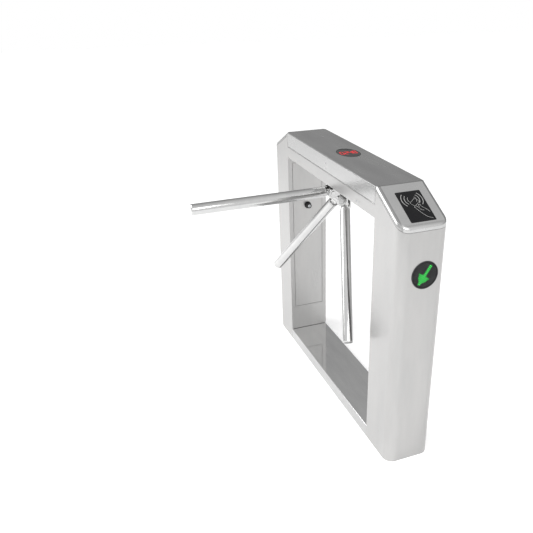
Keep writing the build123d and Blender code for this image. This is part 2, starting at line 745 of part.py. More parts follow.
for arm, turn in turns.items():
    root = arm_plane(turn)
    pin_side = arm_plane(turn, pivot_distance)
    side_plane = Plane(origin=pin_side.origin - pin_side.x_dir * (tongue_thickness / 2),
                       x_dir=pin_side.z_dir, z_dir=pin_side.x_dir)
    with BuildPart() as tube:
        with BuildSketch(root.offset(arm_start)):
            Circle(arm_radius)
            Circle(arm_radius - arm_wall, mode=Mode.SUBTRACT)
        extrude(amount=arm_end - tip_length - arm_start)
    save(tube, f"{arm}_arm")

    with BuildPart() as knuckle:
        with BuildSketch(side_plane):
            Circle(tongue_radius)
            with Locations((neck_start / 2 + 2, 0)):
                Rectangle(neck_start + 4, 2 * (tongue_radius - 1.5))
        extrude(amount=tongue_thickness)
        with BuildSketch(root.offset(pivot_distance + neck_start)):
            Circle(neck_radius)
        extrude(amount=arm_start - collar_length - pivot_distance - neck_start)
        with BuildSketch(root.offset(arm_start - collar_length)):
            Circle(arm_radius)
        extrude(amount=collar_length)
        fillet(knuckle.edges().filter_by(GeomType.CIRCLE).filter_by(
            lambda e: abs(e.radius - arm_radius) < 0.01), collar_round)
        with BuildSketch(root.offset(arm_start)):
            Circle(arm_radius - arm_wall)
        extrude(amount=2 * arm_radius)
        with BuildSketch(side_plane.offset(-ear_span)):
            Circle(pin_radius + running_gap)
        extrude(amount=3 * ear_span, mode=Mode.SUBTRACT)
    save(knuckle, f"{arm}_arm_knuckle")

    with BuildPart() as tip:
        with BuildSketch(root.offset(arm_end - tip_length)):
            Circle(arm_radius)
        extrude(amount=tip_length)
        fillet(tip.faces().sort_by(Axis(apex, root.z_dir))[-1].edges(), tip_round)
        with BuildSketch(root.offset(arm_end - tip_length - tip_plug)):
            Circle(arm_radius - arm_wall)
        extrude(amount=tip_plug)
    save(tip, f"{arm}_arm_cap")

# ============================ spindle, housing and bearings =================================
bearing_seat = 2.0         # housing's end wall beside each bearing
bearing_stations = (housing_front - bearing_seat - bearing_width, housing_back + bearing_seat)
spindle_collar_radius = 15.5
collar_gap = 0.3
nose_edge_round = 3.0
pad_half_width = 62.0
pad_back = 58.0
pad_gap = 2.5              # pocket liner to the housing's pad
with BuildPart() as tripod_spindle:
    spin_disc(spindle_radius, gear_back, spindle_front)
    spin_disc(spindle_collar_radius, housing_front - bearing_seat + collar_gap, hub_back)
    spin_disc(spindle_tail_radius, spindle_back, gear_back)
save(tripod_spindle, "tripod_spindle")

with BuildPart() as bearing_housing:
    spin_disc(housing_radius, housing_back, housing_front)
    spin_disc(housing_nose_radius, housing_front - housing_nose_length, housing_front)
    nose_rim = bearing_housing.faces().sort_by(spin_axis)[-1].edges()
    fillet(nose_rim, nose_edge_round)
    box_between((-pad_half_width, pocket_back + liner_wall + pad_gap, beam_bottom + sheet),
                (pad_half_width, pad_back, beam_bottom + sheet + housing_pad))
    spin_disc(spindle_radius + 4, housing_back, housing_front, mode=Mode.SUBTRACT)
    for station in bearing_stations:
        spin_disc(bearing_radius, station, station + bearing_width, mode=Mode.SUBTRACT)
    spin_disc(bearing_radius, housing_back, housing_back + bearing_seat, mode=Mode.SUBTRACT)
    spin_disc(bearing_radius - 4, housing_front - bearing_seat, housing_front, mode=Mode.SUBTRACT)
    with BuildSketch(Plane.XY.offset(beam_bottom)):
        for y in screw_y:
            with Locations((-screw_x, y), (screw_x, y)):
                Circle(screw_radius + screw_clearance)
    extrude(amount=sheet + housing_pad + 1, mode=Mode.SUBTRACT)
save(bearing_housing, "bearing_housing")

with BuildPart() as spindle_bearings:
    for station in bearing_stations:
        with BuildSketch(spin.offset(station)):
            Circle(bearing_radius)
            Circle(spindle_radius + running_gap, mode=Mode.SUBTRACT)
        extrude(amount=bearing_width)
save(spindle_bearings, "spindle_bearings")

with BuildPart() as housing_screws:
    with BuildSketch(Plane.XY.offset(beam_bottom - 2)):
        for y in screw_y:
            with Locations((-screw_x, y), (screw_x, y)):
                Circle(screw_radius)
    extrude(amount=sheet + housing_pad + 2)
    with BuildSketch(Plane.XY.offset(beam_bottom + sheet + housing_pad)):
        for y in screw_y:
            with Locations((-screw_x, y), (screw_x, y)):
                Circle(screw_radius * 1.7)
    extrude(amount=4)
    with BuildSketch(Plane.XY.offset(beam_bottom - 4)):
        for y in screw_y:
            with Locations((-screw_x, y), (screw_x, y)):
                RegularPolygon(screw_radius * 1.8, 6)
    extrude(amount=4)
save(housing_screws, "housing_screws")

# ============================ locking gear, drive and sensor ================================
with BuildPart() as mechanism_plate:
    spin_box((-plate_half_width, plate_low, plate_back),
             (plate_half_width, plate_high, housing_back))
    spin_disc(spindle_radius + 2, plate_back, housing_back, mode=Mode.SUBTRACT)
    spin_disc(motor_shaft_radius + 2, plate_back, housing_back, w=motor_w, mode=Mode.SUBTRACT)
    for sign in (1, -1):
        spin_disc(pawl_pin_radius, disc_back - 2, plate_back, x=sign * pawl_pivot_x,
                  w=pawl_pivot_w)
save(mechanism_plate, "mechanism_plate")

with BuildPart() as index_disc:
    spin_disc(disc_radius, disc_back, disc_front)
    spin_disc(spindle_radius, disc_back, disc_front, mode=Mode.SUBTRACT)
    with BuildSketch(spin.offset(disc_back)):
        with PolarLocations(disc_radius - notch_depth + 5, notch_count):
            Rectangle(10, notch_width)
    extrude(amount=disc_thickness, mode=Mode.SUBTRACT)
save(index_disc, "index_disc")

with BuildPart() as drive_gear:
    with BuildSketch(spin.offset(gear_back)):
        gear_outline(gear_teeth, 90)
        Circle(spindle_radius, mode=Mode.SUBTRACT)
    extrude(amount=gear_width)
save(drive_gear, "drive_gear")

with BuildPart() as motor_pinion:
    with BuildSketch(spin.offset(gear_back)):
        with Locations((0, motor_w)):
            with BuildSketch(mode=Mode.PRIVATE) as pinion_outline:
                gear_outline(pinion_teeth, -90 + 180 / pinion_teeth)
            add(pinion_outline.sketch)
    extrude(amount=gear_width)
    spin_disc(motor_shaft_radius, gear_back, housing_back + motor_shaft_reach, w=motor_w)
save(motor_pinion, "motor_pinion")

with BuildPart() as drive_motor:
    spin_disc(motor_radius, housing_back, housing_back + motor_length, w=motor_w)
    fillet(drive_motor.faces().sort_by(spin_axis)[-1].edges(), motor_edge_round)
    spin_disc(motor_shaft_radius + running_gap, housing_back,
              housing_back + motor_shaft_reach + 2, w=motor_w, mode=Mode.SUBTRACT)
save(drive_motor, "drive_motor")

slot_count = 3
slot_size = (6.0, 4.0)
with BuildPart() as encoder_disc:
    spin_disc(encoder_radius, encoder_back, encoder_front)
    spin_disc(spindle_tail_radius, encoder_back, encoder_front, mode=Mode.SUBTRACT)
    with BuildSketch(spin.offset(encoder_back)):
        with PolarLocations(encoder_radius - 2, slot_count):
            Rectangle(*slot_size)
    extrude(amount=encoder_thickness, mode=Mode.SUBTRACT)
save(encoder_disc, "encoder_disc")

sensor_back = encoder_back - 5.5
sensor_front = encoder_front + 4.5
post_x = 30.0
post_w = 40.0
with BuildPart() as position_sensor:
    spin_box((-6, 12, sensor_back), (6, 30, sensor_front))
    spin_box((-7, 11, encoder_back - 1.5), (7, 24, encoder_front + 1.5), mode=Mode.SUBTRACT)
    spin_box((-6, 24, sensor_back), (post_x + 3, post_w + 3, sensor_back + 3))
    spin_box((post_x - 3, post_w - 3, sensor_back), (post_x + 3, post_w + 3, plate_back))
save(position_sensor, "position_sensor")

# The pawls stand clear of the disc at rest, and swing in on their pins to lock it.
pawl_front = disc_front - (disc_thickness - pawl_thickness) / 2
pawl_back = pawl_front - pawl_thickness
nose_clear = 1.0
nose_low = -4.0
nose_high = 2.0
plunger_a = pawl_back - 0.5 - plunger_radius
tail_w = plunger_w - 5
pawl_boss_radius = 7.0
plunger_slot = (6.4, 3.8)     # length and width of the pawl's slot
plunger_pin_radius = 1.5
plunger_nose = 4.0         # rod beyond the pin
plunger_stroke_room = 10.0
plunger_tail = 24.0
solenoid_foot_inset = 4.0
for side, sign in (("left", -1), ("right", 1)):
    edge = sign * (pawl_pivot_x - pawl_width / 2)
    nose_x = sign * (disc_radius + nose_clear)
    with BuildPart() as pawl:
        with BuildSketch(spin.offset(pawl_back)):
            with Locations((sign * pawl_pivot_x, pawl_pivot_w)):
                Circle(pawl_boss_radius)
            with Locations((sign * pawl_pivot_x, (pawl_pivot_w + tail_w) / 2)):
                Rectangle(pawl_width, pawl_pivot_w - tail_w)
            with Locations(((edge + nose_x) / 2 + sign * 1, (nose_low + nose_high) / 2)):
                Rectangle(abs(edge - nose_x) + 2, nose_high - nose_low)
            with Locations((sign * pawl_pivot_x, pawl_pivot_w)):
                Circle(pawl_pin_radius + pin_gap, mode=Mode.SUBTRACT)
            with Locations((sign * pawl_pivot_x, plunger_w)):
                SlotOverall(*plunger_slot, rotation=90, mode=Mode.SUBTRACT)
        extrude(amount=pawl_thickness)
    save(pawl, f"{side}_pawl")

    reach = solenoid_start - pawl_pivot_x
    with BuildPart() as plunger:
        rod_plane = Plane(origin=spin.origin + spin.x_dir * sign * (pawl_pivot_x - plunger_nose)
                          + spin.y_dir * plunger_w + spin.z_dir * plunger_a,
                          x_dir=spin.y_dir, z_dir=spin.x_dir * sign)
        with BuildSketch(rod_plane):
            Circle(plunger_radius)
        extrude(amount=reach + plunger_tail)
        spin_disc(plunger_pin_radius, plunger_a, pawl_front - 1, x=sign * pawl_pivot_x, w=plunger_w)
    save(plunger, f"{side}_plunger")

    with BuildPart() as solenoid:
        low_x = min(sign * solenoid_start, sign * (solenoid_start + solenoid_length))
        half = solenoid_side / 2
        spin_box((low_x, plunger_w - half, plunger_a - half),
                 (low_x + solenoid_length, plunger_w + half, plunger_a + half))
        spin_box((low_x + solenoid_foot_inset, plunger_w - half, plunger_a + half),
                 (low_x + solenoid_length - solenoid_foot_inset, plunger_w + half, plate_back))
        bore_plane = Plane(origin=rod_plane.origin + rod_plane.z_dir * (reach - plunger_stroke_room),
                           x_dir=rod_plane.x_dir, z_dir=rod_plane.z_dir)
        with BuildSketch(bore_plane):
            Circle(plunger_radius + running_gap)
        extrude(amount=solenoid_length + plunger_stroke_room, mode=Mode.SUBTRACT)
    save(solenoid, f"{side}_solenoid")

# ============================ pocket liner and electronics ==================================
with BuildPart() as hub_pocket_liner:
    box_between((-pocket_half_width - liner_wall, pocket_front - liner_wall, beam_bottom + sheet),
                (pocket_half_width + liner_wall, pocket_back + liner_wall, pocket_top + liner_wall))
    box_between((-pocket_half_width, pocket_front, beam_bottom),
                (pocket_half_width, pocket_back, pocket_top), Mode.SUBTRACT)
    spin_disc(housing_nose_radius + boss_clearance, housing_back, housing_front + 20,
              mode=Mode.SUBTRACT)
save(hub_pocket_liner, "hub_pocket_liner")

board_low = 420.0
board_high = 600.0
board_stand = 8.0
board_left = column_mid_x - 55.0
board_right = column_mid_x + 45.0
pillar_inset = 8.0
pillar_radius = 3.0
# x from the column's middle, z from the board's foot, width, height and depth
board_components = ((-28, 100, 19, 22, 4), (8, 120, 27, 16, 8), (-20, 30, 37, 14, 12),
                    (25, 30, 13, 40, 12), (5, 70, 9, 12, 16), (-30, 155, 15, 12, 9))
with BuildPart() as control_board:
    face_y = inner_half_width - board_stand - board_thickness
    box_between((board_left, face_y, board_low), (board_right, face_y + board_thickness, board_high))
    for x in (board_left + pillar_inset, board_right - pillar_inset):
        for z in (board_low + pillar_inset, board_high - pillar_inset):
            with BuildSketch(Plane.XZ.offset(-inner_half_width)):
                with Locations((x, z)):
                    Circle(pillar_radius)
            extrude(amount=board_stand)
    for x, z, across, rise, depth in board_components:
        box_between((column_mid_x + x, face_y - depth, board_low + z),
                    (column_mid_x + x + across, face_y, board_low + z + rise))
save(control_board, "control_board")

supply_size = (100.0, 38.0, 160.0)
supply_round = 2.0
terminal_size = (80.0, 24.0, 19.0)
terminal_lap = 9.0         # terminal block sunk into the case
with BuildPart() as power_supply:
    case_top = board_low + supply_size[2]
    box_between((-column_mid_x - supply_size[0] / 2, -inner_half_width, board_low),
                (-column_mid_x + supply_size[0] / 2, supply_size[1] - inner_half_width, case_top))
    fillet(power_supply.edges().filter_by(Axis.Z), supply_round)
    block_back = (supply_size[1] - terminal_size[1]) / 2 - inner_half_width
    block_floor = case_top - terminal_lap
    box_between((-column_mid_x - terminal_size[0] / 2, block_back, block_floor),
                (-column_mid_x + terminal_size[0] / 2, block_back + terminal_size[1],
                 block_floor + terminal_size[2]))
save(power_supply, "power_supply")
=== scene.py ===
"""Looks for the tripod visitor counter: finishes, display digits, signal arrows and small fittings."""

import math

import bmesh
import bpy
import numpy as np
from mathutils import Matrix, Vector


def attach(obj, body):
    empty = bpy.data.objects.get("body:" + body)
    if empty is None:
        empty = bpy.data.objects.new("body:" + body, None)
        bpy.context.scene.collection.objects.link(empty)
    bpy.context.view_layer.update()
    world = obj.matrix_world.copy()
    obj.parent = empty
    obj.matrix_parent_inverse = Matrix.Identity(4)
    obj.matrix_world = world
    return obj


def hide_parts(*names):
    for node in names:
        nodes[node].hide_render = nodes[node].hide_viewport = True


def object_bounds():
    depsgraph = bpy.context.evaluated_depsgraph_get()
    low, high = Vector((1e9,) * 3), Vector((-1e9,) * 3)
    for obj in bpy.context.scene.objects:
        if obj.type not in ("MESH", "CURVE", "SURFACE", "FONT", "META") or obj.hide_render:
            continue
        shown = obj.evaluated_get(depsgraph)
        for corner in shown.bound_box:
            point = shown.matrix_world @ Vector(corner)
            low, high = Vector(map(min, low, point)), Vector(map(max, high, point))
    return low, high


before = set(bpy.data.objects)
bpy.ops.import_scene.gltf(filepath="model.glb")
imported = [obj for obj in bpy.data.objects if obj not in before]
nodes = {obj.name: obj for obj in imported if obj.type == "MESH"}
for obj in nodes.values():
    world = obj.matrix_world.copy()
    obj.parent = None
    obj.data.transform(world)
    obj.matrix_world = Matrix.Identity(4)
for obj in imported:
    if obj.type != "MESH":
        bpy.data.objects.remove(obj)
cad_low, cad_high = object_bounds()

MM = 0.001

# The cabinet's driving points, in metres, in the CAD frame.
END_X = 575 * MM
SLOPE_RUN, SLOPE_DROP, HEIGHT = 164 * MM, 84 * MM, 980 * MM
SLOPE_TOP_X = END_X - SLOPE_RUN
SLOPE_ANGLE = math.atan2(SLOPE_DROP, SLOPE_RUN)
SIDE_Y = 87 * MM
READER_START, READER_LENGTH, READER_SHIFT = 35 * MM, 130 * MM, 3 * MM
READER_PROUD = 0.6 * MM
SIGNAL_RADIUS, SIGNAL_Z, SIGNAL_SHIFT, SIGNAL_PROUD = 47.5 * MM, 732.5 * MM, 9 * MM, 2 * MM
COUNTER_X, COUNTER_Y, COUNTER_LENGTH, COUNTER_WIDTH = -6 * MM, 8 * MM, 122 * MM, 84 * MM
SEAM_Z, PORTAL_X, PLINTH_TOP = 921 * MM, 404 * MM, 48 * MM


# ---------------------------------------------------------------- surfaces

def grid_faces(count, rows, columns):
    """Quads of `count` grids of rows x columns points, where each row closes on itself."""
    r, c = np.meshgrid(np.arange(rows - 1), np.arange(columns), indexing="ij")
    after = (c + 1) % columns
    quad = np.stack([r * columns + c, r * columns + after,
                     (r + 1) * columns + after, (r + 1) * columns + c], -1).reshape(-1, 4)
    start = np.arange(count)[:, None, None] * rows * columns
    return (quad[None] + start).reshape(-1, 4)


def piece(name, grids, material, body, crease=40):
    """One closed mesh from grids (count, rows, columns, 3): rows close on themselves, and the first
    and last row of each grid have shrunk to a point, so merging doubles closes the poles."""
    grids = np.asarray(grids, float)
    if grids.ndim == 3:
        grids = grids[None]
    count, rows, columns, _ = grids.shape
    mesh = bpy.data.meshes.new(name)
    mesh.from_pydata(grids.reshape(-1, 3).tolist(), [], grid_faces(count, rows, columns).tolist())
    work = bmesh.new()
    work.from_mesh(mesh)
    bmesh.ops.remove_doubles(work, verts=work.verts, dist=1e-6)
    bmesh.ops.recalc_face_normals(work, faces=work.faces)
    work.to_mesh(mesh)
    work.free()
    mesh.shade_smooth()
    mesh.set_sharp_from_angle(angle=math.radians(crease))
    mesh.materials.append(material)
    made = bpy.data.objects.new(name, mesh)
    bpy.context.scene.collection.objects.link(made)
    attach(made, body)
    return made


def circle(radius, count):
    """Points at equal angles round a circle: (r cos t, r sin t)."""
    t = np.arange(count) * 2 * math.pi / count
    return np.stack([radius * np.cos(t), radius * np.sin(t)], -1)


def stacked(outline, rings):
    """A closed solid from an outline (n, 2): ring (scale, height) is the outline times scale, lifted
    to height. The first and last scales are zero, so both ends close. Result (rings, n, 3)."""
    scale = np.array([s for s, _ in rings])[:, None, None]
    lift = np.broadcast_to(np.array([h for _, h in rings])[:, None, None],
                           (len(rings), len(outline), 1))
    return np.concatenate([outline[None] * scale, lift], -1)


def placed(local, origin, across, up):
    """Local points (a, b, h) go to origin + a across + b up + h outward, with outward = across x up."""
    axes = np.stack([across, up, np.cross(across, up)])
    return np.asarray(local) @ axes + np.asarray(origin)


def moved(local, centres):
    """The same solid at each centre (m, 2) or (m, 3) of the local frame: (m, rows, n, 3)."""
    centres = np.asarray(centres, float)
    if centres.shape[1] == 2:
        centres = np.concatenate([centres, np.zeros((len(centres), 1))], -1)
    return local[None] + centres[:, None, None, :]


def resampled(path, count):
    """A polyline (k, 2) as `count` points at equal steps of its length."""
    path = np.asarray(path, float)
    run = np.concatenate([[0], np.cumsum(np.linalg.norm(np.diff(path, axis=0), axis=1))])
    at = np.linspace(0, run[-1], count)
    return np.stack([np.interp(at, run, path[:, 0]), np.interp(at, run, path[:, 1])], -1)


def stroke(path, width, thickness, count=40):
    """A drawn line as a thin closed strip: at each point of the path, a low arch across its
    direction, and a point at each end. Result (count + 2, 6, 3)."""
    line = resampled(path, count)
    way = np.gradient(line, axis=0)
    way /= np.linalg.norm(way, axis=1)[:, None]
    side = np.stack([-way[:, 1], way[:, 0]], -1)
    across = np.array([-0.5, -0.42, 0.42, 0.5, 0.42, -0.42]) * width
    lift = np.array([0.0, 1.0, 1.0, 0.0, -0.5, -0.5]) * thickness
    ring = np.concatenate([line[:, None] + side[:, None] * across[None, :, None],
                           np.broadcast_to(lift[None, :, None], (count, 6, 1))], -1)
    ends = [np.broadcast_to(ring[k].mean(0), (1, 6, 3)) for k in (0, -1)]
    return np.concatenate([ends[0], ring, ends[1]])


def arc(centre, radius, start, end, count=24):
    """Points on a circle from start to end degrees."""
    t = np.radians(np.linspace(start, end, count))
    return np.stack([centre[0] + radius * np.cos(t), centre[1] + radius * np.sin(t)], -1)


def ring_band(outline, profile):
    """A closed band round an outline (n, 2): profile points (inset, height) are carried round it,
    each set in along the outline's own inward normal, and the profile closes on itself."""
    ahead = np.roll(outline, -1, 0) - np.roll(outline, 1, 0)
    ahead /= np.linalg.norm(ahead, axis=1)[:, None]
    inward = np.stack([-ahead[:, 1], ahead[:, 0]], -1)
    rows = [np.concatenate([outline + inward * inset, np.full((len(outline), 1), height)], -1)
            for inset, height in list(profile) + [profile[0]]]
    return np.stack(rows)


def rounded_box(width, length, corner, per_corner=6):
    """Outline of a rectangle with round corners, anticlockwise, as quarter circles."""
    spots = [(1, 1, 0), (-1, 1, 90), (-1, -1, 180), (1, -1, 270)]
    return np.concatenate([arc((sx * (width / 2 - corner), sy * (length / 2 - corner)), corner,
                               turn, turn + 90, per_corner) for sx, sy, turn in spots])


# ---------------------------------------------------------------- finishes

def shader(name):
    """A new node material and its Principled shader."""
    material = bpy.data.materials.new(name)
    material.use_nodes = True
    tree = material.node_tree
    return material, tree, next(n for n in tree.nodes if n.type == "BSDF_PRINCIPLED")


def add(tree, kind, sockets=None, **settings):
    """Adds a node; a socket value that is itself an output is linked, any other is set."""
    made = tree.nodes.new(kind)
    for key, value in settings.items():
        setattr(made, key, value)
    for key, value in (sockets or {}).items():
        if isinstance(value, bpy.types.NodeSocket):
            tree.links.new(value, made.inputs[key])
        else:
            made.inputs[key].default_value = value
    return made


def grain(tree, stretch, detail=3.0, roughness=0.55):
    """Noise on Object coordinates; stretch is its frequency along X, Y and Z, per metre."""
    spot = add(tree, "ShaderNodeTexCoord").outputs["Object"]
    where = add(tree, "ShaderNodeMapping", {"Vector": spot, "Scale": stretch}).outputs["Vector"]
    return add(tree, "ShaderNodeTexNoise", {"Vector": where, "Scale": 1.0, "Detail": detail,
                                            "Roughness": roughness}).outputs["Fac"]


def spread(tree, value, low, high, start=0.3, end=0.7):
    """Carries a noise value from start..end to low..high."""
    return add(tree, "ShaderNodeMapRange", {"Value": value, "From Min": start, "From Max": end,
                                            "To Min": low, "To Max": high}).outputs["Result"]


def total(tree, *values):
    """Adds up several values."""
    result = values[0]
    for value in values[1:]:
        made = tree.nodes.new("ShaderNodeMath")
        tree.links.new(result, made.inputs[0])
        tree.links.new(value, made.inputs[1])
        result = made.outputs[0]
    return result


def tinted(tree, value, dark, light, start=0.3, end=0.7):
    """A colour between dark and light, as the value goes from start to end."""
    ramp = add(tree, "ShaderNodeValToRGB", {"Fac": value})
    ramp.color_ramp.elements[0].position = start
    ramp.color_ramp.elements[0].color = (*dark, 1)
    ramp.color_ramp.elements[1].position = end
    ramp.color_ramp.elements[1].color = (*light, 1)
    return ramp.outputs["Color"]


def relief(tree, bsdf, height, depth, strength=1.0):
    """Bump from a height value, depth in metres."""
    bump = add(tree, "ShaderNodeBump", {"Height": height, "Distance": depth, "Strength": strength})
    tree.links.new(bump.outputs["Normal"], bsdf.inputs["Normal"])


def painted_shade_by_distance(tree, colour, axis, start, end, share, end_share):
    """Painted shade: the colour times a share that goes evenly from `share` to `end_share` as the
    distance from the origin along the axis goes from start to end, in metres."""
    spot = add(tree, "ShaderNodeTexCoord").outputs["Object"]
    along = add(tree, "ShaderNodeSeparateXYZ", {"Vector": spot}).outputs[axis]
    away = add(tree, "ShaderNodeMath", {0: along}, operation="ABSOLUTE").outputs[0]
    level = add(tree, "ShaderNodeMapRange", {"Value": away, "From Min": start, "From Max": end,
                                             "To Min": share, "To Max": end_share}).outputs["Result"]
    return add(tree, "ShaderNodeVectorMath", {0: colour, 1: level},
               operation="MULTIPLY").outputs["Vector"]


def finish(name, dark, light, metallic, rough, fine, broad=(14, 14, 14), depth=0.00003,
           coat=0.0, specular=0.5, painted_shade=()):
    """A finish with two scales: `fine` grain gives bump and part of the roughness, `broad` patches
    give the colour change and the rest. rough is (lowest, highest). The last argument lists areas of
    painted shade, each as the painted-shade helper above takes it."""
    material, tree, bsdf = shader(name)
    fine_value = grain(tree, fine, 2.0)
    broad_value = grain(tree, broad, 4.0)
    middle = (rough[0] + rough[1]) / 2
    rough_value = total(tree, spread(tree, fine_value, rough[0] / 2, middle / 2),
                        spread(tree, broad_value, rough[0] / 2, rough[1] - middle / 2))
    tree.links.new(rough_value, bsdf.inputs["Roughness"])
    colour = tinted(tree, broad_value, dark, light)
    # each area paints shade into the colour
    for area in painted_shade:
        colour = painted_shade_by_distance(tree, colour, *area)
    tree.links.new(colour, bsdf.inputs["Base Color"])
    relief(tree, bsdf, fine_value, depth)
    bsdf.inputs["Metallic"].default_value = metallic
    bsdf.inputs["Coat Weight"].default_value = coat
    bsdf.inputs["Specular IOR Level"].default_value = specular
    return material


ALONG_X, ALONG_Z = (5, 620, 620), (620, 620, 5)


def brushed_steel(name, along):
    """Satin stainless sheet: hair-line grain along one axis, faint broad clouding, and a few
    long handling streaks in the roughness."""
    return finish(name, (0.445, 0.443, 0.44), (0.505, 0.50, 0.494), 1.0, (0.26, 0.40), along,
                  tuple(3 + 0.02 * (s - 5) for s in along), 0.00002)


def slope_steel():
    """The sheet of the sloping caps, with painted shade darkening it where it is rolled over at the
    sides and the end.
    """
    return finish("steel_slope_cap", (0.66, 0.66, 0.66), (0.72, 0.72, 0.715), 1.0, (0.2, 0.32),
                  (620, 7, 620), (9, 4, 9), 0.00002,
                  # painted shade: the rolled-over edges at the sides and at the end are darkened
                  painted_shade=[("Y", SIDE_Y - 14 * MM, SIDE_Y - 12 * MM, 1.0, 0.6),
                        ("X", END_X - 14 * MM, END_X - 9 * MM, 1.0, 0.82)])


def lid_steel():
    """The lid's sheet: hair-line grain along the beam; its skirts are painted darker than its top, as
    painted shade.
    """
    return finish("steel_lid", (0.75, 0.75, 0.75), (0.81, 0.81, 0.805), 1.0, (0.19, 0.3),
                  ALONG_X, (3, 14, 14), 0.00002,
                  # painted shade: everything below the top's edge is darkened
                  painted_shade=[("Z", HEIGHT - 3 * MM, HEIGHT - 1 * MM, 0.62, 1.0)])


def plinth_steel():
    """The plinth's top is nearly a mirror, with fine scuffs from shoes; its sides are painted darker,
    as painted shade.
    """
    return finish("steel_plinth", (0.76, 0.76, 0.76), (0.84, 0.84, 0.835), 1.0, (0.04, 0.12),
                  ALONG_X, (5, 22, 22), 0.00001,
                  # painted shade: the sides below the top's edge are darkened
                  painted_shade=[("Z", PLINTH_TOP - 3 * MM, PLINTH_TOP - 1 * MM, 0.6, 1.0)])


def polished_steel():
    """Mirror-polished tube and castings, with faint drawing lines and finger marks."""
    return finish("steel_polished", (0.54, 0.54, 0.542), (0.60, 0.60, 0.595), 1.0, (0.06, 0.14),
                  (60, 60, 60), (22, 22, 22), 0.00001)


def zinc_plate():
    """Zinc plating: cool grey with a broken crystal sheen."""
    return finish("zinc_plate", (0.42, 0.44, 0.46), (0.60, 0.61, 0.62), 1.0, (0.28, 0.5),
                  (260, 260, 260), (70, 70, 70), 0.00005)


def turned_steel():
    """Machined steel with fine tool marks and an oil film."""
    return finish("steel_turned", (0.34, 0.34, 0.35), (0.50, 0.50, 0.51), 1.0, (0.18, 0.34),
                  (150, 150, 1100), (40, 40, 40), 0.00003)


def cast_alloy():
    """Die-cast aluminium, with a sandy skin."""
    return finish("alloy_cast", (0.45, 0.45, 0.46), (0.58, 0.58, 0.59), 1.0, (0.4, 0.6),
                  (700, 700, 700), (25, 25, 25), 0.00015)


def pinion_brass():
    """Brass, slightly tarnished."""
    return finish("brass_pinion", (0.52, 0.36, 0.12), (0.74, 0.55, 0.24), 1.0, (0.2, 0.36),
                  (400, 400, 400), (60, 60, 60), 0.00003)


def motor_paint():
    """Black stoved paint with an orange-peel skin."""
    return finish("paint_black", (0.012, 0.012, 0.013), (0.022, 0.022, 0.023), 0.0, (0.3, 0.45),
                  (420, 420, 420), (30, 30, 30), 0.0001, coat=0.2)


def lock_black():
    """The lock barrel's black plating, rubbed on its edges."""
    return finish("lock_black", (0.010, 0.010, 0.011), (0.03, 0.03, 0.031), 0.0, (0.3, 0.48),
                  (500, 500, 500), (90, 90, 90), 0.00004, specular=0.25)


def moulded_black():
    """Moulded black plastic with a fine spark texture."""
    return finish("plastic_black", (0.014, 0.014, 0.015), (0.024, 0.024, 0.025), 0.0, (0.38, 0.55),
                  (1300, 1300, 1300), (40, 40, 40), 0.0001)


def gland_nylon():
    """Black nylon, a little waxy."""
    return finish("nylon_black", (0.02, 0.02, 0.021), (0.032, 0.032, 0.033), 0.0, (0.42, 0.56),
                  (500, 500, 500), (50, 50, 50), 0.00006)


def reader_glass():
    """Back-painted black glass over the card reader, with a trace of dust and wiping."""
    return finish("glass_reader", (0.006, 0.006, 0.007), (0.010, 0.010, 0.011), 0.0, (0.04, 0.14),
                  (180, 180, 180), (30, 30, 30), 0.000005, specular=0.2)


def smoked_acrylic():
    """The dark acrylic face of the signal lamps."""
    return finish("acrylic_smoked", (0.012, 0.012, 0.013), (0.02, 0.02, 0.021), 0.0, (0.2, 0.32),
                  (240, 240, 240), (40, 40, 40), 0.00001, specular=0.12)


def counter_acrylic():
    """The dark grey window over the visitor count."""
    return finish("acrylic_counter", (0.035, 0.035, 0.036), (0.05, 0.05, 0.051), 0.0, (0.12, 0.26),
                  (240, 240, 240), (40, 40, 40), 0.00001)


def mark_print():
    """Pale grey screen printing on the reader glass, slightly uneven."""
    return finish("print_pale", (0.32, 0.32, 0.31), (0.46, 0.46, 0.45), 0.0, (0.4, 0.6),
                  (900, 900, 900), (60, 60, 60), 0.00001)


def circuit_board():
    """Green solder mask with paler tracks under it, and a gloss coat."""
    material, tree, bsdf = shader("circuit_board")
    spot = add(tree, "ShaderNodeTexCoord").outputs["Object"]
    where = add(tree, "ShaderNodeMapping", {"Vector": spot, "Scale": (160, 160, 160)}).outputs[0]
    cells = add(tree, "ShaderNodeTexVoronoi", {"Vector": where, "Scale": 1.0},
                distance="CHEBYCHEV", feature="F1").outputs["Distance"]
    tree.links.new(tinted(tree, cells, (0.012, 0.16, 0.05), (0.006, 0.075, 0.028), 0.28, 0.36),
                   bsdf.inputs["Base Color"])
    tree.links.new(spread(tree, cells, 0.28, 0.4), bsdf.inputs["Roughness"])
    relief(tree, bsdf, cells, 0.00005, 0.4)
    bsdf.inputs["Coat Weight"].default_value = 0.3
    return material


def glowing(name, colour, strength, body):
    """A lit LED: its own light, a little uneven from one chip to the next."""
    material, tree, bsdf = shader(name)
    value = grain(tree, (260, 260, 260), 1.0)
    dim = tuple(c * 0.7 for c in colour)
    tree.links.new(tinted(tree, value, dim, colour), bsdf.inputs["Emission Color"])
    bsdf.inputs["Emission Strength"].default_value = strength
    tree.links.new(tinted(tree, value, body, tuple(c * 1.3 for c in body)),
                   bsdf.inputs["Base Color"])
    bsdf.inputs["Roughness"].default_value = 0.35
    return material


def unlit_led(name, colour):
    """An LED that is off: its dull tinted body."""
    return finish(name, colour, tuple(c * 1.5 for c in colour), 0.0, (0.3, 0.45),
                  (500, 500, 500), (80, 80, 80), 0.00001)


